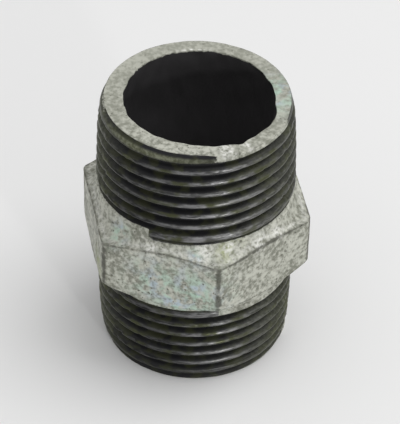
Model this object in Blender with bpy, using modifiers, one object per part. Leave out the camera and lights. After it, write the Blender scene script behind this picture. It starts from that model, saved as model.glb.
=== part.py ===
"""A hexagon nipple for 1 inch taper pipe thread.

It is one iron casting: a short tube with a right-hand taper thread cut on each end, and a hexagon
between the threads for a spanner. The origin is the centre of the lower end face, +Z runs up the
tube, and the hexagon's corners lie on the X axis and at every 60 degrees from it.
"""

import math

import bmesh
import bpy
from mathutils import Matrix

MM = 0.001

# Tube
LENGTH = 48.7 * MM
BORE_DIAMETER = 24.6 * MM
BORE_SHIFT = 0.4 * MM  # the core that forms the bore sits a little off the threads' axis
BORE_SHIFT_AZIMUTH = math.radians(28)
END_FACE_DIAMETER = 31.0 * MM

# Thread: 11.5 turns an inch, 60 degrees between its flanks, growing 1 in 16 away from each end
PITCH = 25.4 * MM / 11.5
END_DIAMETER = 32.6 * MM  # over the crests, at the plane of the end face
TAPER = 1 / 16
FLANK_ANGLE = math.radians(30)
THREAD_DEPTH = 0.58 * PITCH
ROOT_FLAT = 0.1 * PITCH
VANISH_LIFT = 0.8 * MM  # how much shallower the groove is where the cutting tool leaves it
VANISH_LENGTH = 1.2 * PITCH

# Where each groove stops, as a distance from its own end face and an azimuth seen from that face
UPPER_RUNOUT = 17.6 * MM
UPPER_RUNOUT_AZIMUTH = math.radians(-98.6)
LOWER_RUNOUT = 16.45 * MM
LOWER_RUNOUT_AZIMUTH = math.radians(57)

# Hexagon and the round collars next to it
ACROSS_FLATS = 35.4 * MM
CORNER_RADIUS = 1.6 * MM
LEDGE_Z = 28.35 * MM  # the hexagon's top
UNDERCUT_Z = 19.65 * MM  # where the turned chamfer under the hexagon reaches its corners
UNDERCUT_ANGLE = math.radians(30)
UPPER_COLLAR_DIAMETER = 34.0 * MM
UPPER_COLLAR_Z = 31.0 * MM
LEDGE_FILLET = 2.2 * MM
LOWER_COLLAR_DIAMETER = 34.6 * MM
LOWER_COLLAR_Z = 17.0 * MM
COLLAR_CHAMFER = 0.3 * MM

# Facets
BODY_STEPS = 40
THREAD_STEPS = 40
FILLET_STEPS = 4
CORNER_STEPS = 3

SHARP_ANGLE = math.radians(30)  # edges that turn more than this stay crisp

# How far a cutter reaches past what it cuts, at its ends and over the thread's crests
OVERSHOOT = 2.0 * MM
SKIN = 0.05 * MM


def clear_scene():
    for item in list(bpy.data.objects):
        bpy.data.objects.remove(item)


def new_collection(name):
    collection = bpy.data.collections.new(name)
    bpy.context.scene.collection.children.link(collection)
    return collection


def add_object(name, mesh, collection):
    item = bpy.data.objects.new(name, mesh)
    collection.objects.link(item)
    return item


def hide_cutter(item):
    item.hide_render = True
    item.display_type = "WIRE"
    return item


def galvanised_iron():
    material = bpy.data.materials.new("galvanised_iron")
    material.use_nodes = True
    shader = material.node_tree.nodes["Principled BSDF"]
    shader.inputs["Base Color"].default_value = (0.36, 0.37, 0.34, 1)
    shader.inputs["Metallic"].default_value = 0.6
    shader.inputs["Roughness"].default_value = 0.55
    return material


def crest_radius(distance):
    """The thread's outer radius at a distance from its own end face."""
    return END_DIAMETER / 2 + distance * TAPER / 2


def fillet_profile(radius, top_z):
    """A hollow quarter circle from the upper collar out to the hexagon's ledge."""
    points = []
    for step in range(FILLET_STEPS + 1):
        turn = math.pi / 2 * step / FILLET_STEPS
        across = radius + LEDGE_FILLET * (1 - math.cos(turn))
        points.append((across, top_z - LEDGE_FILLET * math.sin(turn)))
    return points


def blank_profile():
    """Half of the turned blank's section, from the top of the axis down its outer side."""
    end_radius = END_FACE_DIAMETER / 2
    chamfer = END_DIAMETER / 2 - end_radius
    upper_collar = UPPER_COLLAR_DIAMETER / 2
    lower_collar = LOWER_COLLAR_DIAMETER / 2
    corner = ACROSS_FLATS / 2 / math.cos(math.pi / 6)
    rim = corner + OVERSHOOT
    slope = math.tan(UNDERCUT_ANGLE)
    upper_thread = crest_radius(LENGTH - UPPER_COLLAR_Z)
    lower_thread = crest_radius(LOWER_COLLAR_Z)
    return [
        (0, LENGTH),
        (end_radius, LENGTH),
        (crest_radius(chamfer), LENGTH - chamfer),
        (upper_thread, UPPER_COLLAR_Z),
        (upper_collar, UPPER_COLLAR_Z - (upper_collar - upper_thread)),
        *fillet_profile(upper_collar, LEDGE_Z + LEDGE_FILLET),
        (rim, LEDGE_Z),
        (rim, UNDERCUT_Z + (rim - corner) * slope),
        (lower_collar, UNDERCUT_Z - (corner - lower_collar) * slope),
        (lower_collar, LOWER_COLLAR_Z + COLLAR_CHAMFER),
        (lower_collar - COLLAR_CHAMFER, LOWER_COLLAR_Z),
        (lower_thread, LOWER_COLLAR_Z),
        (crest_radius(chamfer), chamfer),
        (end_radius, 0),
        (0, 0),
    ]


def profile_mesh(name, points, closed=False):
    """A line of edges in the XZ plane, ready for a Screw modifier."""
    count = len(points)
    edges = [(i, (i + 1) % count) for i in range(count if closed else count - 1)]
    mesh = bpy.data.meshes.new(name)
    mesh.from_pydata([(x, 0, z) for x, z in points], edges, [])
    return mesh


def add_screw(item, steps, rise=0.0, turns=1):
    screw = item.modifiers.new("turn", "SCREW")
    screw.axis = "Z"
    screw.angle = 2 * math.pi
    screw.steps = steps
    screw.render_steps = steps
    screw.screw_offset = rise
    screw.iterations = turns
    screw.use_merge_vertices = rise == 0.0
    screw.merge_threshold = 0.00001


def cut(item, tool, operation):
    boolean = item.modifiers.new(tool.name, "BOOLEAN")
    boolean.object = tool
    boolean.operation = operation
    boolean.solver = "EXACT"


def hexagon_bar(collection):
    """A hexagonal bar with rounded corners, longer than the nipple."""
    shape = bmesh.new()
    corner = ACROSS_FLATS / 2 / math.cos(math.pi / 6)
    bmesh.ops.create_cone(
        shape, cap_ends=True, segments=6, radius1=corner, radius2=corner, depth=LENGTH + 2 * OVERSHOOT
    )
    half_side = Matrix.Rotation(math.pi / 6, 3, "Z")  # brings a corner onto the X axis
    bmesh.ops.rotate(shape, verts=shape.verts[:], matrix=half_side)
    upright = [e for e in shape.edges if abs(e.verts[0].co.z - e.verts[1].co.z) > LENGTH]
    tangent = CORNER_RADIUS * math.tan(math.pi / 6)
    bmesh.ops.bevel(
        shape, geom=upright, offset=tangent, segments=CORNER_STEPS, profile=0.5, affect="EDGES"
    )
    mesh = bpy.data.meshes.new("hexagon_bar")
    shape.to_mesh(mesh)
    shape.free()
    item = add_object("hexagon_bar", mesh, collection)
    item.location.z = LENGTH / 2
    return hide_cutter(item)


def bore_core(collection):
    shape = bmesh.new()
    radius = BORE_DIAMETER / 2
    bmesh.ops.create_cone(
        shape, cap_ends=True, segments=64, radius1=radius, radius2=radius, depth=LENGTH + 2 * OVERSHOOT
    )
    mesh = bpy.data.meshes.new("bore_core")
    shape.to_mesh(mesh)
    shape.free()
    item = add_object("bore_core", mesh, collection)
    item.location.x = BORE_SHIFT * math.cos(BORE_SHIFT_AZIMUTH)
    item.location.y = BORE_SHIFT * math.sin(BORE_SHIFT_AZIMUTH)
    item.location.z = LENGTH / 2
    return hide_cutter(item)


def groove_profile(runout):
    """The groove's section where it starts, with the end face at height 0 and the tube below it."""
    outer = crest_radius(0) + SKIN
    root = crest_radius(0) - THREAD_DEPTH
    half_root = ROOT_FLAT / 2
    half_outer = half_root + (outer - root) * math.tan(FLANK_ANGLE)
    return [
        (outer, half_outer - runout),
        (outer, -half_outer - runout),
        (root, -half_root - runout),
        (root, half_root - runout),
    ]


def spread_with_taper(shape, runout):
    """Moves a straight groove out to the taper, and lifts it out of the metal where it stops."""
    for vert in shape.verts:
        turned = min(max((vert.co.z + runout) / VANISH_LENGTH, 0), 1)
        out = -vert.co.z * TAPER / 2 + VANISH_LIFT * (1 - turned)
        across = vert.co.xy.length
        vert.co.x *= 1 + out / across
        vert.co.y *= 1 + out / across


def groove_cutter(name, runout, azimuth, collection):
    """One thread's groove as a solid, in the frame of its own end face."""
    turns = math.ceil((runout + OVERSHOOT) / PITCH)
    line = add_object("groove_line", profile_mesh("groove_line", groove_profile(runout), True), collection)
    add_screw(line, THREAD_STEPS, PITCH, turns)
    graph = bpy.context.evaluated_depsgraph_get()
    mesh = bpy.data.meshes.new_from_object(line.evaluated_get(graph))
    bpy.data.objects.remove(line)
    shape = bmesh.new()
    shape.from_mesh(mesh)
    bmesh.ops.remove_doubles(shape, verts=shape.verts[:], dist=0.00001)
    bmesh.ops.holes_fill(shape, edges=shape.edges[:], sides=4)
    spread_with_taper(shape, runout)
    bmesh.ops.rotate(shape, verts=shape.verts[:], matrix=Matrix.Rotation(azimuth, 3, "Z"))
    bmesh.ops.recalc_face_normals(shape, faces=shape.faces[:])
    shape.to_mesh(mesh)
    shape.free()
    return hide_cutter(add_object(name, mesh, collection))


def apply_cuts(item):
    """Keeps the cut shape as the object's own mesh, smooth over its curves and crisp at its edges."""
    graph = bpy.context.evaluated_depsgraph_get()
    mesh = bpy.data.meshes.new_from_object(item.evaluated_get(graph))
    item.modifiers.clear()
    item.data = mesh
    mesh.name = item.name
    mesh.shade_smooth()
    mesh.set_sharp_from_angle(angle=SHARP_ANGLE)


def nipple_body(collection, cutters):
    body = add_object("nipple_body", profile_mesh("nipple_body", blank_profile()), collection)
    body.data.materials.append(galvanised_iron())
    add_screw(body, BODY_STEPS)
    upper = groove_cutter("upper_groove", UPPER_RUNOUT, UPPER_RUNOUT_AZIMUTH, cutters)
    upper.location.z = LENGTH
    lower = groove_cutter("lower_groove", LOWER_RUNOUT, LOWER_RUNOUT_AZIMUTH, cutters)
    lower.rotation_euler.x = math.pi
    cut(body, hexagon_bar(cutters), "INTERSECT")
    cut(body, upper, "DIFFERENCE")
    cut(body, lower, "DIFFERENCE")
    cut(body, bore_core(cutters), "DIFFERENCE")
    apply_cuts(body)


def main():
    clear_scene()
    collection = new_collection("hex_nipple")
    cutters = new_collection("cutters")
    nipple_body(collection, cutters)


main()
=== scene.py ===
import math

import bpy
import numpy as np
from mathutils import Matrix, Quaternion, Vector, noise

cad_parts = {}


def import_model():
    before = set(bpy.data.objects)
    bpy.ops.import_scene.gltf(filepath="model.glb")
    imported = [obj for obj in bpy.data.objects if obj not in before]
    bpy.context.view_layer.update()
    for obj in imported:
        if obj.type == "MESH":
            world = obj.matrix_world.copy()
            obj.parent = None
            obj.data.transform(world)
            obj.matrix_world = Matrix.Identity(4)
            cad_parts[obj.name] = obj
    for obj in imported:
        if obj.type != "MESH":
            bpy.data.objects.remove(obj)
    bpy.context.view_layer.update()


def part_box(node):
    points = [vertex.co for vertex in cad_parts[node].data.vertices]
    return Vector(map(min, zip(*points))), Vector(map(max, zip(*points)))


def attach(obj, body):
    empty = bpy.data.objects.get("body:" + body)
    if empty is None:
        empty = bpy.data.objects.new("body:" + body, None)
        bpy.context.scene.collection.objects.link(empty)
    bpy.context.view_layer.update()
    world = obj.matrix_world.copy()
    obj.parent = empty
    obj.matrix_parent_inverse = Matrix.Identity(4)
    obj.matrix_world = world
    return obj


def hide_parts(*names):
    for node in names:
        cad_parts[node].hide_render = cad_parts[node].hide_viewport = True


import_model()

# The looks of the hex nipple: one iron casting, galvanised, with its two threads cut afterwards.
# The casting is one closed skin of rows that run round the axis. Its shape is worked out in
# millimetres, with azimuths in radians from +X, and scaled to metres when the mesh is made.

MM = 0.001
BODY = "nipple_body"
LOW, HIGH = (np.array(corner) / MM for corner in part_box(BODY))

# Tube
LENGTH = float(HIGH[2] - LOW[2])
BORE_RADIUS = 12.3
BORE_SHIFT = 0.4
BORE_SHIFT_AZIMUTH = math.radians(28)
END_FACE_RADIUS = 15.5

# Thread
PITCH = 25.4 / 11.5
END_RADIUS = 16.3  # over the crests, at the plane of the end face
TAPER = 1 / 32  # growth of the radius with distance from the end
THREAD_DEPTH = 0.58 * PITCH
ROOT_FLAT = 0.1 * PITCH
FLANK = math.tan(math.radians(30))
ROOT_ROUNDING = 0.25  # width over which the groove's floor curves into its flanks
CREST_ROUNDING = 0.44  # width over which the flanks curve into the crests
VANISH_LIFT = 0.8  # how much shallower the groove is where the cutting tool leaves it
VANISH_TURNS = 1.2
WALL_TURNS = 0.005  # the share of a turn in which the metal closes the groove's end
END_ROUNDING_REACH = 2.0  # how far from the end face the crests' rounding there dies out
COLLAR_STEP = 0.12  # half the height of the step from the thread to its collar
RUBBED_AND_HIGHLIGHT_AZIMUTH = math.radians(-56)  # the side whose crests are rubbed, and painted brightest as the highlight where the glint light falls

# Hexagon and collars
FLAT_DISTANCE = float(HIGH[1] - LOW[1]) / 2
CORNER_DISTANCE = FLAT_DISTANCE / math.cos(math.pi / 6)
CORNER_RADIUS = (CORNER_DISTANCE - float(HIGH[0])) / (1 / math.cos(math.pi / 6) - 1)
LEDGE_Z = 28.35
LEDGE_FILLET = 2.2
UPPER_COLLAR_RADIUS = 17.0
UPPER_COLLAR_Z = 31.0
UNDERCUT_Z = 19.65
UNDERCUT_SLOPE = math.tan(math.radians(30))
LOWER_COLLAR_RADIUS = 17.3
LOWER_COLLAR_Z = 17.0

# Mesh density
AROUND = 288
CORNER_CROWDING = 0.5  # 0 spaces the columns evenly, and 1 gathers them all at the hexagon's corners
ROW_STEP = PITCH / 15  # on the threads
FACE_ROWS = 11
LEDGE_ROWS = 14
FLAT_ROWS = 18
UNDERCUT_ROWS = 6
BORE_ROWS = 30

# Arcs round an end face, seen from that face, as the azimuths in degrees over which each one fades
# in and those over which it fades out
FULL_LIP = ((-67, -53), (-14, 8))  # the first groove is filled, and zinc covers the edge
DARK_EDGE_ARC = ((-150, -120), (-72, -58))
CHIPPED_BORE = ((-78, -38), (-12, 18))  # at the lower end it is turned with the rest of the edge

# Patches round the axis, as an azimuth and a reach in degrees
# The two sides where the thread turns away, with dust and a painted sheen on them
DUST_AND_SHEEN_SIDE = (-4, 40)
DUST_AND_SHEEN_BACK = (-156, 24)
FILMED_RIDGE = (-104, 48)
ZINC_SHOULDER = (-165, 24)
PITTED_FACE = (-75, 65)
# The arc of the bore's edge that is painted with a glint
PAINTED_GLINT_RIM = (113, 9)
DARKEST_CREASE = (-30, 26)
SCRATCHED_FLAT = (-31, 14)

# Distances from the end face over which something fades in or out
LIP_END = (0.55, 0.75)
FIRST_RIDGE_END = (1.0, 1.6)
SHOULDER_END = (0.5, 1.1)
RIDGE_FILM_START = (0.3, 0.7)
BORE_START = (0.0, 0.4)
# Where the bore is paled as painted light, against the shade deeper in it
BORE_PAINTED_LIGHT_DEPTHS = (2.0, 22.0)
FACE_DARKENING_RADII = (14.2, 15.4)  # where the end face grows darker towards its outer edge

# Where zinc fades in, as heights of the groove's wall above the uncut blank
RIDGE_ZINC = (-0.35, 0.05)
RUNOUT_ZINC = (-0.5, -0.15)
RUNOUT_ZINC_TURNS = (-0.1, 0.15)  # and as turns past the groove's end

LIP_SHARPNESS = 0.6  # how much less rounded the edge is where its lip is full
SHOULDER_ZINC = 0.75
BACK_DUST_AND_SHEEN = 0.65
ROOT_DUST_AND_SHEEN = 0.4  # how much of the dust and painted sheen lies in the roots, where the crests have all of it

# Lines of darkening, scratches, painted shadow and painted highlight, as a strength, a distance and a
# reach
PAINTED_RIM_GLINT = (1.2, 0, 0.3)  # a painted glint along the bore's edge, outwards from the bore
EDGE_DARK_LINE = (0.7, 0, 0.2)  # down the thread from the end face
COLLAR_SHADOW = (1, -0.2, 0.3)  # painted shadow under the collar's step, along the thread from its collar
LEDGE_DARK_LINE = (1, 0, 0.38)  # inwards from the ledge's outer edge
PAINTED_LEDGE_HIGHLIGHT = (0.6, 0.95, 0.45)  # a painted highlight along the ledge's rim, inwards from its outer edge
CORNER_DARK_LINE = (1.2, 0, 0.65)  # sideways from the hexagon's corners
FLAT_TOP_DARK_LINE = (1, 0, 0.4)  # down from the flat's top edge
FLAT_LOW_DARK_LINE = (0.8, 0, 0.25)  # up from the flat's lower edge
FLAT_SCRATCH = (1.1, 1.5, 0.25)  # up from the flat's lower edge
CREASE_DARKNESS = (0.8, 0.45)  # how dark the hexagon's edges are made, and how much more at the darkest
FACE_PITS = (0.5, 0.45)  # how pitted the end face is, and how much more at the worst
EDGE_DARKNESS_SHARE = 0.1  # how dark an end face's outer edge is made away from the darkest arc

# Unevenness round the axis: lumps as a height, an azimuth and a reach in degrees, and ripples as a
# height, a number of waves and a phase
LEDGE_LUMPS = ((0.6, -72, 15), (0.1, -108, 12), (-0.4, -28, 18), (-0.25, 0, 8))
LEDGE_RIPPLES = ((0.15, 4, 2),)
BORE_LUMPS = ((0.45, -40, 4), (-0.12, 30, 14), (0.55, 120, 42))
BORE_RIPPLES = ((0.07, 5, 1), (0.06, 11, 2), (0.05, 23, 0))
BORE_CHIP = 1.05
BORE_EDGE_DEPTH = 1.4  # how far into the bore its uneven edge dies out
BORE_ROUNDING = 0.2
BORE_ROUNDING_DEPTH = 0.35
LOWER_EDGE_TURN = 2.0  # how far round the lower edge's unevenness is turned, in radians

# Roughness of the surfaces, as a depth, the layers of noise in it as a weight, a size and a seed,
# and how much of the depth the surface is sunk by
ZINC_ROUGH = 0.13
ZINC_LAYERS = ((0.5, 3.2, 1), (0.35, 1.3, 2), (0.2, 0.7, 3))
ZINC_SINK = 0.35
WALL_ROUGH = 0.3
WALL_LAYERS = ((1.0, 2.4, 4), (0.4, 1.0, 5))
WALL_SINK = 0.5
NICK_DEPTH = 0.16
NICK_LAYERS = ((1.0, 0.9, 6),)
NICK_LEVELS = (0.2, 0.6)  # the noise between which a nick fades in
NICKED_UNRUBBED = 2.0  # times the depth where the crests aren't rubbed
RUBBED_LOSS = 1.2  # how much of that is lost where they are
WAVE_DEPTH = 0.05
WAVE_LAYERS = ((1.0, 2.2, 7),)
WAVE_SINK = 0.5

SEED_STEP = (7.31, 3.17, 5.03)  # how far apart the seeds' noises lie

# Stains in the zinc, as an azimuth in degrees, a height and a reach
MINT_SPOTS = (
    (-92, 22.8, 4.2), (-72, 22.0, 5.0), (-82, 19.5, 3.5), (-71, 29.4, 1.2), (-117, 29.8, 1.7),
    (24, 48.7, 4.2), (150, 24.0, 4.0),
)
OLIVE_SPOTS = (
    (-55, 29.8, 1.3), (-50, 31.0, 1.5), (35, 27.0, 3.0), (-130, 21.0, 2.5), (95, 28.5, 2.0),
)
# Spots rubbed bright, and painted as glints and highlights, given the same way
WEAR_AND_GLINT_SPOTS = (
    (-54, 48.6, 0.6), (-50, 48.7, 0.6), (-38, 48.7, 0.5), (-66, 30.2, 1.6), (-52, 30.3, 1.2),
    (-33, 29.4, 1.6), (-20, 29.2, 1.2), (-96, 29.6, 1.2),
)

# Colours of the zinc
ZINC_DARK = (0.21, 0.215, 0.175, 1)
ZINC_PALE = (0.52, 0.525, 0.46, 1)
# Worn zinc, and also the colour of the painted highlights and glints on the zinc
ZINC_WORN_AND_LIT = (0.78, 0.78, 0.74, 1)
STAIN_GREEN = (0.42, 0.62, 0.51, 1)
STAIN_BLUE = (0.42, 0.53, 0.63, 1)
STAIN_OLIVE = (0.36, 0.40, 0.18, 1)
PIT_COLOUR = (0.10, 0.10, 0.08, 1)
# Darkened edges and scratches, and the painted shadow under the lower collar
GRIME_AND_SHADE_COLOUR = (0.07, 0.07, 0.055, 1)

# Colours of the cut iron
# Oil in the grooves, which also paints the shade in the roots
OIL_AND_SHADE_BLACK = (0.010, 0.010, 0.012, 1)
OIL_AND_SHADE_OLIVE = (0.026, 0.028, 0.014, 1)
CREST_DARK = (0.015, 0.015, 0.015, 1)
CREST_GREY = (0.085, 0.085, 0.085, 1)
# Rubbed crests, painted brighter as the highlight on the side the glint light falls on
RUBBED_AND_LIT_DARK = (0.08, 0.08, 0.08, 1)
RUBBED_AND_LIT_BRIGHT = (0.30, 0.30, 0.305, 1)
CREST_STAIN = (0.07, 0.075, 0.04, 1)
# Dust, and the painted sheen where the thread turns away
DUST_AND_SHEEN_DARK = (0.09, 0.095, 0.055, 1)
DUST_AND_SHEEN_PALE = (0.22, 0.23, 0.165, 1)

# Colours of the bore: near black as painted shade, and paled deeper down as painted light
BORE_MOUTH_SHADE = (0.024, 0.023, 0.024, 1)
BORE_DEEP_PAINTED_LIGHT = (0.075, 0.072, 0.075, 1)

# Noise in the looks, as a size, a number of finer layers and how strong each is next to the last
FINE_MOTTLE = (0.8, 2.0, 0.6)
COARSE_MOTTLE = (4.2, 2.0)
PIT_SHAPE = (0.5, 1.0)
PIT_DEPTH = (0.45, 3.0, 0.6)
STREAKS = (0.35, 3.0, 0.6)
DRAGS = (0.5, 2.0, 0.5)
DUST_AND_SHEEN_NOISE = (0.6, 3.0, 0.6)
RAGGED = (0.7, 2.0)

# Patches of noise, as a size, a number of finer layers and the levels between which they fade in
MINT_PATCHES = (1.4, 3.0, 0.35, 0.6)
BLUE_PATCHES = (3.0, 1.0, 0.45, 0.6)
OLIVE_PATCHES = (1.1, 2.0, 0.35, 0.6)
CROWDED_PITS = (3.5, 2.0, 0.38, 0.6)
WEAR_AND_HIGHLIGHT_PATCHES = (0.6, 2.0, 0.35, 0.65)
OIL_PATCHES = (2.5, 2.0, 0.45, 0.62)
STAINED_CRESTS = (3.4, 2.0, 0.5, 0.68)
GRIME_AND_SHADE_PATCHES = (2.2, 1.0, 0.35, 0.55)
POLISHED_CRESTS = (0.6, 2.0, 0.3, 0.7)
POLISHED_ZINC = (0.9, 3.0, 0.3, 0.7)

# Levels between which other noise fades in
MOTTLE_LEVELS = (0.55, 0.93)
PIT_LEVELS = (0.62, 0.4)
DULL_LEVELS = (0.4, 0.65)
RUBBED_AND_LIT_LEVELS = (0.3, 0.65)
DUST_AND_SHEEN_LEVELS = (0.35, 0.68)

# Ragged edges, as how ragged they are and the two levels between which they fade in
ZINC_FADE = (0.7, 0.42, 0.58)
CREST_FADE = (0.18, 0.66, 0.93)
BORE_FADE = (0.8, 0.35, 0.65)
GRIME_AND_SHADE_FADE = (1.2, 0.2, 1.05)

PITS_APART = 0.8
STREAK_STRETCH = (0.16, 0.16, 1.0)  # small numbers draw the noise out along an axis
DRAG_STRETCH = (0.3, 0.3, 1.0)

# Strengths, with a pair where they vary from place to place
COARSE_SHARE = 0.5
PLAIN_TONE = 0.5  # between dark and pale, where the zinc isn't pitted
MINT_STRENGTH = (0.35, 0.85)  # on the darkest zinc and on the palest
OLIVE_STRENGTH = 0.7
PIT_SHAPE_SHARE = 0.7
FEW_PITS = 0.1
PIT_STRENGTH = (0.25, 0.9)
GRIME_AND_SHADE_SHARE = (0.65, 1.0)
GRIME_AND_SHADE_STRENGTH = 0.85
DUST_AND_SHEEN_STRENGTH = 0.85

# Finish, given the same way
OIL_ROUGHNESS = 0.34
CREST_ROUGHNESS = (0.28, 0.40)
ZINC_ROUGHNESS = (0.42, 0.68)
BORE_ROUGHNESS = 0.75
CREST_METALLIC = 0.75
ZINC_METALLIC = 0.1
SPECULAR_LEVEL = 0.2
PIT_HEIGHT = 0.06
DRAG_HEIGHT = 0.014
BUMP_STRENGTH = 0.6

# Camera: from the front and a little to the right, and from well above, through a long lens
VIEW_AZIMUTH = 18.44
VIEW_ELEVATION = 40.1
VIEW_ROLL = 0.94
VIEW_DISTANCE = 0.424
VIEW_TARGET = (0.00075, 0.00025, 0.02417)
LENS_MM = 212.3
CLIP_START = 0.01

# Lights, as an azimuth counted from the camera's, an elevation, a distance, a size and a power
LIGHTS = {
    "key": (92, 68, 0.8, 0.6, 2.6),
    "soft": (30, 14, 0.8, 0.2, 0.08),
    "glint": (27, 12, 0.7, 0.05, 0.9),
}
SKY_RANGE = (0.0, 0.55, 0.3, 0.74)  # from the horizon up to a height, and the strengths at the two

FLOOR_REACH = 3.0
FLOOR_COLOUR = (0.8, 0.8, 0.8, 1)
FLOOR_ROUGHNESS = 0.9


def smooth_step(value, start, end):
    ramp = np.clip((value - start) / (end - start), 0, 1)
    return ramp * ramp * (3 - 2 * ramp)


def smooth_min(a, b, width):
    """The smaller of two values, with the corner between them rounded over a width."""
    share = np.clip(0.5 + 0.5 * (b - a) / width, 0, 1)
    return b * (1 - share) + a * share - width * share * (1 - share)


def bump(value, centre, width):
    return np.exp(-(((value - centre) / width) ** 2))


def line(away, strength, centre, reach):
    """How strongly a line of dirt or wear shows at a distance."""
    return strength * bump(away, centre, reach)


def angle_from(azimuth, centre):
    """The signed angle from a centre, in radians between -pi and pi."""
    return (azimuth - centre + math.pi) % (2 * math.pi) - math.pi


def in_degrees(azimuth):
    """The same azimuth in degrees, between -180 and 180."""
    return np.degrees(angle_from(azimuth, 0))


def along_arc(degrees, fade_in, fade_out):
    """1 along an arc, and 0 away from it."""
    return smooth_step(degrees, *fade_in) * (1 - smooth_step(degrees, *fade_out))


def uneven(azimuth, lumps, ripples):
    """The height of lumps and ripples round the axis."""
    degrees = in_degrees(azimuth)
    height = sum(rise * bump(degrees, centre, reach) for rise, centre, reach in lumps)
    return height + sum(rise * np.sin(waves * azimuth + phase) for rise, waves, phase in ripples)


def crest_radius(distance):
    """The thread's outer radius at a distance from its own end face."""
    return END_RADIUS + distance * TAPER


def crowded(count):
    """Fractions from 0 up to, but not including, 1, which gather at both ends."""
    return (1 - np.cos(np.pi * np.arange(count) / count)) / 2


class ThreadEnd:
    """One threaded end, measured from its own end face."""

    def __init__(self, side, runout, runout_azimuth, collar_at, collar_radius, rubbed_and_highlight_reach, dust_and_sheen):
        self.side = side  # +1 where the end face is up, -1 where it is down
        self.runout = runout
        self.runout_azimuth = math.radians(runout_azimuth)
        self.collar_at = collar_at
        self.collar_radius = collar_radius
        self.rubbed_and_highlight_reach = rubbed_and_highlight_reach  # how far round the crests are rubbed and painted with a highlight, in radians
        self.dust_and_sheen = dust_and_sheen  # how thickly dust and a painted sheen lie on the oil at the side where the thread turns away

    def groove(self, azimuth, distance):
        """Turns up to where the groove stops, and the radius of its floor and flanks."""
        swept = (self.side * azimuth - self.runout_azimuth) % (2 * math.pi) / (2 * math.pi)
        turn = (self.runout - distance) / PITCH - swept
        nearest = np.maximum(np.round(turn), 0)
        from_root = np.abs(turn - nearest) * PITCH
        turns_cut = nearest + swept
        end_wall = 1 - smooth_step(turns_cut, 0, WALL_TURNS)
        lift = VANISH_LIFT * (1 - smooth_step(turns_cut, 0, VANISH_TURNS)) + THREAD_DEPTH * end_wall
        root = crest_radius(distance) - THREAD_DEPTH + lift
        flank = root + (from_root - ROOT_FLAT / 2) / FLANK
        return turn, -smooth_min(-root, -flank, ROOT_ROUNDING)

    def section(self, azimuth, distance):
        """Radius, height above the root from 0 to 1, share of zinc left, and film of zinc or dust,
        with the painted sheen where the thread turns away.
        """
        turn, wall = self.groove(azimuth, distance)
        degrees = in_degrees(self.side * azimuth)
        full_lip = along_arc(degrees, *FULL_LIP)
        wall = wall + THREAD_DEPTH * full_lip * (1 - smooth_step(distance, *LIP_END))
        crest = crest_radius(distance)
        step = smooth_step(distance, self.collar_at - COLLAR_STEP, self.collar_at + COLLAR_STEP)
        rounding = (END_RADIUS - END_FACE_RADIUS) * (1 - LIP_SHARPNESS * full_lip)
        rounding = rounding * np.exp(-distance / END_ROUNDING_REACH)
        blank = crest - rounding + (self.collar_radius - crest) * step
        radius = smooth_min(wall, blank, CREST_ROUNDING)
        height = np.clip((radius - (crest - THREAD_DEPTH)) / THREAD_DEPTH, 0, 1)

        above = wall - blank  # less than 0 in the groove
        first_ridge = smooth_step(above, *RIDGE_ZINC) * (1 - smooth_step(distance, *FIRST_RIDGE_END))
        shoulder = bump(degrees, *ZINC_SHOULDER) * (1 - smooth_step(distance, *SHOULDER_END))
        past_groove = smooth_step(above, *RUNOUT_ZINC) * smooth_step(-turn, *RUNOUT_ZINC_TURNS)
        zinc = np.maximum(first_ridge * full_lip, SHOULDER_ZINC * shoulder)
        zinc = np.maximum(zinc, past_groove)

        around = in_degrees(azimuth)
        # dust, with a painted sheen, on the two sides where the thread turns away
        dust_and_sheen = self.dust_and_sheen * bump(around, *DUST_AND_SHEEN_SIDE) + BACK_DUST_AND_SHEEN * bump(around, *DUST_AND_SHEEN_BACK)
        dust_and_sheen = dust_and_sheen * (ROOT_DUST_AND_SHEEN + (1 - ROOT_DUST_AND_SHEEN) * height)
        film_start = smooth_step(distance, *RIDGE_FILM_START)
        film = np.maximum(first_ridge * film_start * bump(degrees, *FILMED_RIDGE), dust_and_sheen)
        return radius, height, zinc, film


UPPER = ThreadEnd(
    side=1, runout=17.6, runout_azimuth=-98.6, collar_at=LENGTH - UPPER_COLLAR_Z,
    collar_radius=UPPER_COLLAR_RADIUS, rubbed_and_highlight_reach=0.65, dust_and_sheen=0.32,
)
LOWER = ThreadEnd(
    side=-1, runout=16.45, runout_azimuth=57, collar_at=LOWER_COLLAR_Z,
    collar_radius=LOWER_COLLAR_RADIUS, rubbed_and_highlight_reach=0.4, dust_and_sheen=0.5,
)


def column_azimuths():
    turn = 2 * np.pi * np.arange(AROUND) / AROUND
    return turn - CORNER_CROWDING * np.sin(6 * turn) / 6


def from_corner(azimuth):
    """The angle to the hexagon's nearest corner."""
    return np.abs(angle_from(azimuth * 6, 0)) / 6


def hexagon_radius(azimuth):
    """Distance from the axis to the hexagon's side, with rounded corners."""
    away = from_corner(azimuth)
    flat = FLAT_DISTANCE / np.cos(math.pi / 6 - away)
    centre = (FLAT_DISTANCE - CORNER_RADIUS) / math.cos(math.pi / 6)
    inside = np.maximum(CORNER_RADIUS**2 - (centre * np.sin(away)) ** 2, 0)
    arc = centre * np.cos(away) + np.sqrt(inside)
    across = (FLAT_DISTANCE - CORNER_RADIUS) * math.tan(math.pi / 6)
    return np.where(away < math.pi / 6 - math.atan(across / FLAT_DISTANCE), arc, flat)


def bore_edge(azimuth, depth):
    """How far the casting's broken edge lies outside the true bore, at a depth below the end face."""
    chip = BORE_CHIP * along_arc(in_degrees(azimuth), *CHIPPED_BORE)
    return (chip + uneven(azimuth, BORE_LUMPS, BORE_RIPPLES)) * np.exp(-depth / BORE_EDGE_DEPTH)


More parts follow.
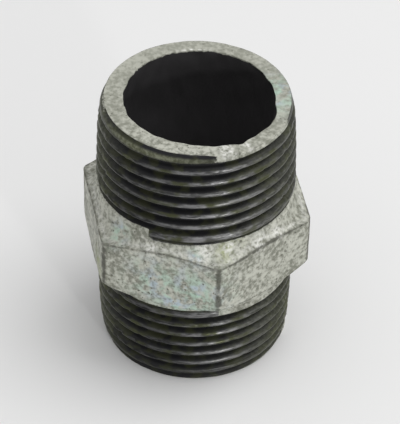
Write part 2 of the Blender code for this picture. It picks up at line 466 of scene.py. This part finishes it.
def bore_radius(azimuth, depth, end):
    """The bore's radius about the threads' axis."""
    shifted = BORE_RADIUS + BORE_SHIFT * np.cos(azimuth - BORE_SHIFT_AZIMUTH)
    rounding = BORE_ROUNDING * np.exp(-depth / BORE_ROUNDING_DEPTH)
    turned = azimuth if end.side > 0 else azimuth + LOWER_EDGE_TURN
    return shifted + rounding + bore_edge(turned, depth)


# What the material needs to know at each point, for sound zinc
PLAIN = {
    "zinc": 1.0, "film": 0.0, "height": 1.0, "rubbed": 0.0, "worn": 0.0, "grime": 0.0, "pitted": 1.0,
    "bore": 0.0, "deep": 0.0,
}


class Rows:
    """Rows of points round the axis, with what the material needs to know at each point."""

    def __init__(self, azimuth):
        self.azimuth = azimuth
        self.radius, self.z = [], []
        self.values = {name: [] for name in PLAIN}

    def add(self, radius, z, **values):
        full = np.ones_like(self.azimuth)
        self.radius.append(radius * full)
        self.z.append(z * full)
        for name, kept in self.values.items():
            kept.append(values.get(name, PLAIN[name]) * full)


def edge_darkness(degrees):
    """How dark the end face's outer edge is made, most of all where no zinc is left on the first
    ridge.
    """
    return EDGE_DARKNESS_SHARE + (1 - EDGE_DARKNESS_SHARE) * along_arc(degrees, *DARK_EDGE_ARC)


def add_end_face(rows, end, outward):
    """The ring between the bore and the thread."""
    z_face = LENGTH if end.side > 0 else 0.0
    outer = end.section(rows.azimuth, np.zeros_like(rows.azimuth))[0]
    inner = bore_radius(rows.azimuth, 0.0, end)
    degrees = in_degrees(end.side * rows.azimuth)
    pitted = FACE_PITS[0] + FACE_PITS[1] * bump(degrees, *PITTED_FACE)
    shares = crowded(FACE_ROWS)
    for share in shares if outward else 1 - shares:
        radius = inner + (outer - inner) * share
        grime = edge_darkness(degrees) * smooth_step(radius, *FACE_DARKENING_RADII)
        # a painted glint along the bore's edge
        worn = line(radius - inner, *PAINTED_RIM_GLINT) * bump(degrees, *PAINTED_GLINT_RIM)
        rows.add(radius, z_face, grime=grime, pitted=pitted, worn=worn)


def add_thread(rows, end, start, stop):
    """Rows along one thread and its collar, between two distances from its end face."""
    darkening = edge_darkness(in_degrees(end.side * rows.azimuth))
    for distance in np.linspace(start, stop, int(abs(stop - start) / ROW_STEP), endpoint=False):
        radius, height, zinc, film = end.section(rows.azimuth, distance)
        # painted shadow under the lower collar's step
        collar_shadow = line(distance - end.collar_at, *COLLAR_SHADOW) if end is LOWER else 0.0
        grime = np.maximum(collar_shadow, darkening * line(distance, *EDGE_DARK_LINE))
        z = LENGTH - distance if end.side > 0 else distance
        # crests rubbed, and painted with a highlight, on the side the glint light falls on
        rubbed = bump(angle_from(rows.azimuth, RUBBED_AND_HIGHLIGHT_AZIMUTH), 0, end.rubbed_and_highlight_reach)
        rows.add(radius, z, zinc=zinc, film=film, height=height, rubbed=rubbed, grime=grime)


def add_hexagon(rows):
    """The hollow fillet, the ledge, the flats and the undercut."""
    side = hexagon_radius(rows.azimuth)
    reach = np.clip((side - UPPER_COLLAR_RADIUS) / LEDGE_FILLET, 0, 1)
    arc = np.arccos(1 - reach)
    path = LEDGE_FILLET * arc + np.maximum(side - UPPER_COLLAR_RADIUS - LEDGE_FILLET, 0)
    lift = uneven(rows.azimuth, LEDGE_LUMPS, LEDGE_RIPPLES)
    degrees = in_degrees(rows.azimuth)
    crease = CREASE_DARKNESS[0] + CREASE_DARKNESS[1] * bump(degrees, *DARKEST_CREASE)
    scratched = bump(degrees, *SCRATCHED_FLAT)
    for share in crowded(LEDGE_ROWS):
        along = path * share
        turn = np.minimum(along / LEDGE_FILLET, arc)
        out = np.maximum(along - LEDGE_FILLET * arc, 0)
        radius = UPPER_COLLAR_RADIUS + LEDGE_FILLET * (1 - np.cos(turn)) + out
        z = LEDGE_Z + LEDGE_FILLET * (1 - np.sin(turn)) + lift * share
        from_edge = path - along
        grime = crease * line(from_edge, *LEDGE_DARK_LINE)
        # a painted highlight along the ledge's rim
        rows.add(radius, z, grime=grime, worn=line(from_edge, *PAINTED_LEDGE_HIGHLIGHT))
    top = LEDGE_Z + LEDGE_FILLET * (1 - np.sin(arc)) + lift
    low = UNDERCUT_Z - (CORNER_DISTANCE - side) * UNDERCUT_SLOPE
    corner = line(from_corner(rows.azimuth) * CORNER_DISTANCE, *CORNER_DARK_LINE)
    for share in crowded(FLAT_ROWS):
        z = top + (low - top) * share
        edges = crease * (line(top - z, *FLAT_TOP_DARK_LINE) + line(z - low, *FLAT_LOW_DARK_LINE))
        scratch = scratched * line(z - low, *FLAT_SCRATCH)
        rows.add(side, z, grime=np.maximum(corner, np.maximum(edges, scratch)))
    cone_low = UNDERCUT_Z - (CORNER_DISTANCE - LOWER_COLLAR_RADIUS) * UNDERCUT_SLOPE
    for share in crowded(UNDERCUT_ROWS):
        rows.add(side + (LOWER_COLLAR_RADIUS - side) * share, low + (cone_low - low) * share)
    return cone_low


def add_bore(rows):
    """Up the bore, from the lower end face to the upper one."""
    for share in crowded(BORE_ROWS):
        z = LENGTH * share
        lower = bore_radius(rows.azimuth, z, LOWER)
        upper = bore_radius(rows.azimuth, LENGTH - z, UPPER)
        depth = min(z, LENGTH - z)
        radius = np.where(z < LENGTH / 2, lower, upper)
        # paled deeper down as painted light
        deep = smooth_step(depth, *BORE_PAINTED_LIGHT_DEPTHS)
        rows.add(radius, z, bore=smooth_step(depth, *BORE_START), deep=deep)


def casting_rows():
    rows = Rows(column_azimuths())
    add_end_face(rows, UPPER, True)
    add_thread(rows, UPPER, 0.0, LENGTH - LEDGE_Z - LEDGE_FILLET)
    cone_low = add_hexagon(rows)
    add_thread(rows, LOWER, cone_low, 0.0)
    add_end_face(rows, LOWER, False)
    add_bore(rows)
    return rows


def spot_share(points, spots):
    """How strongly any of the spots shows at each point."""
    azimuth = np.arctan2(points[:, 1], points[:, 0])
    radius = np.hypot(points[:, 0], points[:, 1])
    share = np.zeros(len(points))
    for degrees, z, reach in spots:
        away = np.hypot(angle_from(azimuth, math.radians(degrees)) * radius, points[:, 2] - z)
        share = np.maximum(share, bump(away, 0, reach))
    return share


def field(points, layers):
    """Smooth noise at each point, of about -1 to 1 for a layer with a weight of 1."""
    total = 0
    for weight, size, seed in layers:
        shift = Vector([seed * step for step in SEED_STEP])
        total = total + weight * np.array([noise.noise(Vector(p) / size + shift) for p in points])
    return total


def roughen(mesh, points, values):
    """Presses the casting's lumps and the thread's nicks into the true shape."""
    normals = np.array([n.vector for n in mesh.vertex_normals])
    zinc, height, bore = values["zinc"], values["height"], values["bore"]
    lumps = ZINC_ROUGH * zinc * (1 - bore) * (field(points, ZINC_LAYERS) - ZINC_SINK)
    walls = WALL_ROUGH * bore * (field(points, WALL_LAYERS) - WALL_SINK)
    depth = NICK_DEPTH * (1 - zinc) * height**4 * (NICKED_UNRUBBED - RUBBED_LOSS * values["rubbed"])
    nicks = -depth * smooth_step(field(points, NICK_LAYERS), *NICK_LEVELS)
    waves = WAVE_DEPTH * (1 - zinc) * (field(points, WAVE_LAYERS) - WAVE_SINK)
    moved = points + normals * (lumps + walls + nicks + waves)[:, None]
    return np.clip(moved, LOW, HIGH)


def skin_mesh(name, rows):
    """A closed mesh of the rows, which join each other in a ring."""
    radius, z = np.array(rows.radius), np.array(rows.z)
    count = len(radius)
    around = np.stack([radius * np.cos(rows.azimuth), radius * np.sin(rows.azimuth), z], -1)
    points = around.reshape(-1, 3)
    row, column = np.meshgrid(np.arange(count), np.arange(AROUND), indexing="ij")
    below, beside = (row + 1) % count, (column + 1) % AROUND
    above, under = row * AROUND, below * AROUND
    faces = np.stack([above + column, under + column, under + beside, above + beside], -1)
    mesh = bpy.data.meshes.new(name)
    mesh.from_pydata((points * MM).tolist(), [], faces.reshape(-1, 4).tolist())
    values = {label: np.array(value).ravel() for label, value in rows.values.items()}
    moved = roughen(mesh, points, values)
    mesh.vertices.foreach_set("co", (moved * MM).ravel())
    values["mint"] = spot_share(points, MINT_SPOTS)
    values["olive"] = spot_share(points, OLIVE_SPOTS)
    values["worn"] = np.maximum(values["worn"], spot_share(points, WEAR_AND_GLINT_SPOTS))
    for label, value in values.items():
        layer = mesh.attributes.new(label, "FLOAT", "POINT")
        layer.data.foreach_set("value", value.astype(np.float32))
    mesh.update()
    mesh.shade_smooth()
    return mesh


def set_range(node, *numbers):
    """What a Map Range node goes from and to."""
    for socket, number in zip(("From Min", "From Max", "To Min", "To Max"), numbers):
        node.inputs[socket].default_value = number


class Nodes:
    """Short names for the nodes of one material, which is worked out in millimetres."""

    def __init__(self, name):
        self.material = bpy.data.materials.new(name)
        self.material.use_nodes = True
        self.tree = self.material.node_tree
        self.shader = self.tree.nodes["Principled BSDF"]
        scale = self.new("ShaderNodeVectorMath", operation="SCALE")
        self.tree.links.new(self.new("ShaderNodeTexCoord").outputs["Object"], scale.inputs[0])
        scale.inputs["Scale"].default_value = 1 / MM
        self.place = scale.outputs[0]

    def new(self, kind, **settings):
        node = self.tree.nodes.new(kind)
        for key, value in settings.items():
            setattr(node, key, value)
        return node

    def plug(self, socket, value):
        if isinstance(value, bpy.types.NodeSocket):
            self.tree.links.new(value, socket)
        else:
            socket.default_value = value

    def value(self, name):
        return self.new("ShaderNodeAttribute", attribute_name=name).outputs["Fac"]

    def stretched(self, x, y, z):
        node = self.new("ShaderNodeVectorMath", operation="MULTIPLY")
        self.plug(node.inputs[0], self.place)
        node.inputs[1].default_value = (x, y, z)
        return node.outputs[0]

    def grain(self, size, detail, rough=0.5, place=None):
        """Noise from 0 to 1 with features of about one size."""
        node = self.new("ShaderNodeTexNoise")
        self.plug(node.inputs["Vector"], place or self.place)
        node.inputs["Scale"].default_value = 1 / size
        node.inputs["Detail"].default_value = detail
        node.inputs["Roughness"].default_value = rough
        return node.outputs["Fac"]

    def spots(self, apart):
        """Distance from the nearest of many scattered points, as a share of how far apart they are."""
        node = self.new("ShaderNodeTexVoronoi")
        self.plug(node.inputs["Vector"], self.place)
        node.inputs["Scale"].default_value = 1 / apart
        return node.outputs["Distance"]

    def ramp(self, value, start, end, low=0.0, high=1.0):
        node = self.new("ShaderNodeMapRange", interpolation_type="SMOOTHSTEP")
        self.plug(node.inputs["Value"], value)
        set_range(node, start, end, low, high)
        return node.outputs["Result"]

    def patches(self, size, detail, start, end, low=0.0, high=1.0):
        """Noise of one size, from low where it is under the start to high where it is over the end."""
        return self.ramp(self.grain(size, detail), start, end, low, high)

    def math(self, operation, a, b):
        node = self.new("ShaderNodeMath", operation=operation)
        self.plug(node.inputs[0], a)
        self.plug(node.inputs[1], b)
        return node.outputs[0]

    def times(self, a, b):
        return self.math("MULTIPLY", a, b)

    def plus(self, a, b):
        return self.math("ADD", a, b)

    def ragged_edge(self, value, ragged, amount, start, end):
        """The same as a ramp, with its edges broken up by noise around 0."""
        return self.ramp(self.plus(value, self.times(ragged, amount)), start, end)

    def mix(self, share, a, b):
        """A blend of two numbers."""
        node = self.new("ShaderNodeMix", data_type="FLOAT")
        self.plug(node.inputs["Factor"], share)
        self.plug(node.inputs["A"], a)
        self.plug(node.inputs["B"], b)
        return node.outputs["Result"]

    def blend(self, share, a, b):
        """A blend of two colours."""
        node = self.new("ShaderNodeMix", data_type="RGBA")
        factor, first, second, result = 0, 6, 7, 2  # the places of the colour sockets
        self.plug(node.inputs[factor], share)
        self.plug(node.inputs[first], a)
        self.plug(node.inputs[second], b)
        return node.outputs[result]


def zinc_colour(n):
    """Dull zinc: pale, mottled dark at every size, pitted, stained with corrosion in places, and
    lightened where it is worn and as painted highlights and glints.
    """
    mottle = n.plus(n.grain(*FINE_MOTTLE), n.times(n.grain(*COARSE_MOTTLE), COARSE_SHARE))
    tone = n.mix(n.value("pitted"), PLAIN_TONE, n.ramp(mottle, *MOTTLE_LEVELS))
    colour = n.blend(tone, ZINC_DARK, ZINC_PALE)
    mint = n.times(n.value("mint"), n.patches(*MINT_PATCHES))
    hue = n.blend(n.patches(*BLUE_PATCHES), STAIN_GREEN, STAIN_BLUE)
    colour = n.blend(n.times(mint, n.mix(tone, *MINT_STRENGTH)), colour, hue)
    olive = n.times(n.value("olive"), n.patches(*OLIVE_PATCHES))
    colour = n.blend(n.times(olive, OLIVE_STRENGTH), colour, STAIN_OLIVE)
    from_pit = n.plus(n.spots(PITS_APART), n.times(n.grain(*PIT_SHAPE), PIT_SHAPE_SHARE))
    pits = n.ramp(from_pit, *PIT_LEVELS)
    crowd = n.patches(*CROWDED_PITS, *PIT_STRENGTH)
    pits = n.times(pits, n.mix(n.value("pitted"), FEW_PITS, crowd))
    colour = n.blend(pits, colour, PIT_COLOUR)
    worn = n.times(n.value("worn"), n.patches(*WEAR_AND_HIGHLIGHT_PATCHES))
    return n.blend(worn, colour, ZINC_WORN_AND_LIT)


def iron_colour(n, crest):
    """Cut iron: black oil in the grooves, which also paints their shade, and a worn grey on the crests
    that drags round them, painted brightest as a highlight on the glint side, under dust with a
    painted sheen where the thread turns away.
    """
    streak = n.grain(*STREAKS, n.stretched(*STREAK_STRETCH))
    oil_and_shade = n.blend(n.patches(*OIL_PATCHES), OIL_AND_SHADE_BLACK, OIL_AND_SHADE_OLIVE)
    dull = n.blend(n.ramp(streak, *DULL_LEVELS), CREST_DARK, CREST_GREY)
    bright = n.blend(n.ramp(streak, *RUBBED_AND_LIT_LEVELS), RUBBED_AND_LIT_DARK, RUBBED_AND_LIT_BRIGHT)
    worn = n.blend(n.value("rubbed"), dull, bright)
    worn = n.blend(n.patches(*STAINED_CRESTS), worn, CREST_STAIN)
    dusty_sheen = n.blend(n.ramp(n.grain(*DUST_AND_SHEEN_NOISE), *DUST_AND_SHEEN_LEVELS), DUST_AND_SHEEN_DARK, DUST_AND_SHEEN_PALE)
    return n.blend(n.times(n.value("film"), DUST_AND_SHEEN_STRENGTH), n.blend(crest, oil_and_shade, worn), dusty_sheen)


def casting_material():
    n = Nodes("galvanised_iron")
    ragged = n.math("SUBTRACT", n.grain(*RAGGED), 0.5)
    zinc = n.ragged_edge(n.value("zinc"), ragged, *ZINC_FADE)
    crest = n.ragged_edge(n.value("height"), ragged, *CREST_FADE)
    bore = n.ragged_edge(n.value("bore"), ragged, *BORE_FADE)

    darkening = n.times(n.value("grime"), n.patches(*GRIME_AND_SHADE_PATCHES, *GRIME_AND_SHADE_SHARE))
    grime = n.times(n.ragged_edge(darkening, ragged, *GRIME_AND_SHADE_FADE), GRIME_AND_SHADE_STRENGTH)
    coat = n.blend(grime, zinc_colour(n), GRIME_AND_SHADE_COLOUR)
    outside = n.blend(zinc, iron_colour(n, crest), coat)
    # the bore, near black as painted shade and paled deeper down as painted light
    inside = n.blend(n.value("deep"), BORE_MOUTH_SHADE, BORE_DEEP_PAINTED_LIGHT)
    n.plug(n.shader.inputs["Base Color"], n.blend(bore, outside, inside))

    bare = n.times(crest, n.math("SUBTRACT", 1.0, n.value("film")))
    iron_rough = n.mix(bare, OIL_ROUGHNESS, n.patches(*POLISHED_CRESTS, *CREST_ROUGHNESS))
    rough = n.mix(zinc, iron_rough, n.patches(*POLISHED_ZINC, *ZINC_ROUGHNESS))
    n.plug(n.shader.inputs["Roughness"], n.mix(bore, rough, BORE_ROUGHNESS))
    metal = n.mix(zinc, n.mix(bare, 0.0, CREST_METALLIC), ZINC_METALLIC)
    n.plug(n.shader.inputs["Metallic"], n.mix(bore, metal, 0.0))
    n.shader.inputs["Specular IOR Level"].default_value = SPECULAR_LEVEL

    pits = n.times(n.grain(*PIT_DEPTH), PIT_HEIGHT)
    bumps = n.new("ShaderNodeBump")
    bumps.inputs["Strength"].default_value = BUMP_STRENGTH
    bumps.inputs["Distance"].default_value = MM
    drags = n.times(n.grain(*DRAGS, n.stretched(*DRAG_STRETCH)), DRAG_HEIGHT)
    n.plug(bumps.inputs["Height"], n.mix(zinc, drags, pits))
    n.plug(n.shader.inputs["Normal"], bumps.outputs["Normal"])
    return n.material


def casting():
    mesh = skin_mesh("nipple_casting", casting_rows())
    mesh.materials.append(casting_material())
    piece = bpy.data.objects.new("nipple_casting", mesh)
    bpy.context.scene.collection.objects.link(piece)
    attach(piece, "root")
    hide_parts(BODY)


def floor():
    mesh = bpy.data.meshes.new("floor")
    corners = [(FLOOR_REACH * x, FLOOR_REACH * y, 0) for x, y in ((-1, -1), (1, -1), (1, 1), (-1, 1))]
    mesh.from_pydata(corners, [], [(0, 1, 2, 3)])
    material = bpy.data.materials.new("floor")
    material.use_nodes = True
    shader = material.node_tree.nodes["Principled BSDF"]
    shader.inputs["Base Color"].default_value = FLOOR_COLOUR
    shader.inputs["Roughness"].default_value = FLOOR_ROUGHNESS
    mesh.materials.append(material)
    item = bpy.data.objects.new("floor", mesh)
    bpy.context.scene.collection.objects.link(item)


def direction(azimuth, elevation):
    """A unit vector, from degrees: azimuth 0 points to -Y and turns towards +X."""
    turn, rise = math.radians(azimuth), math.radians(elevation)
    return Vector((math.cos(rise) * math.sin(turn), -math.cos(rise) * math.cos(turn), math.sin(rise)))


def aim(item, place, target):
    item.location = place
    item.rotation_mode = "QUATERNION"
    item.rotation_quaternion = (Vector(target) - Vector(place)).to_track_quat("-Z", "Y")


def camera():
    data = bpy.data.cameras.new("camera")
    data.lens = LENS_MM
    data.clip_start = CLIP_START
    item = bpy.data.objects.new("camera", data)
    bpy.context.scene.collection.objects.link(item)
    target = Vector(VIEW_TARGET)
    aim(item, target + direction(VIEW_AZIMUTH, VIEW_ELEVATION) * VIEW_DISTANCE, target)
    item.rotation_quaternion @= Quaternion((0, 0, 1), math.radians(VIEW_ROLL))
    bpy.context.scene.camera = item


def area_light(name, azimuth, elevation, distance, size, power):
    """A round light that shines at the middle of the object."""
    data = bpy.data.lights.new(name, "AREA")
    data.shape = "DISK"
    data.size = size
    data.energy = power
    item = bpy.data.objects.new(name, data)
    bpy.context.scene.collection.objects.link(item)
    centre = Vector((0, 0, LENGTH * MM / 2))
    aim(item, centre + direction(VIEW_AZIMUTH + azimuth, elevation) * distance, centre)


def world():
    """A studio that is bright overhead and darker round its sides."""
    sky = bpy.data.worlds.new("studio")
    sky.use_nodes = True
    tree = sky.node_tree
    height = tree.nodes.new("ShaderNodeSeparateXYZ")
    tree.links.new(tree.nodes.new("ShaderNodeTexCoord").outputs["Generated"], height.inputs[0])
    fade = tree.nodes.new("ShaderNodeMapRange")
    tree.links.new(height.outputs["Z"], fade.inputs["Value"])
    set_range(fade, *SKY_RANGE)
    tree.links.new(fade.outputs["Result"], tree.nodes["Background"].inputs["Strength"])
    tree.nodes["Background"].inputs["Color"].default_value = (1, 1, 1, 1)
    bpy.context.scene.world = sky


camera()
world()
for label, settings in LIGHTS.items():
    area_light(label, *settings)
floor()
casting()
bpy.context.scene.view_settings.view_transform = "Standard"
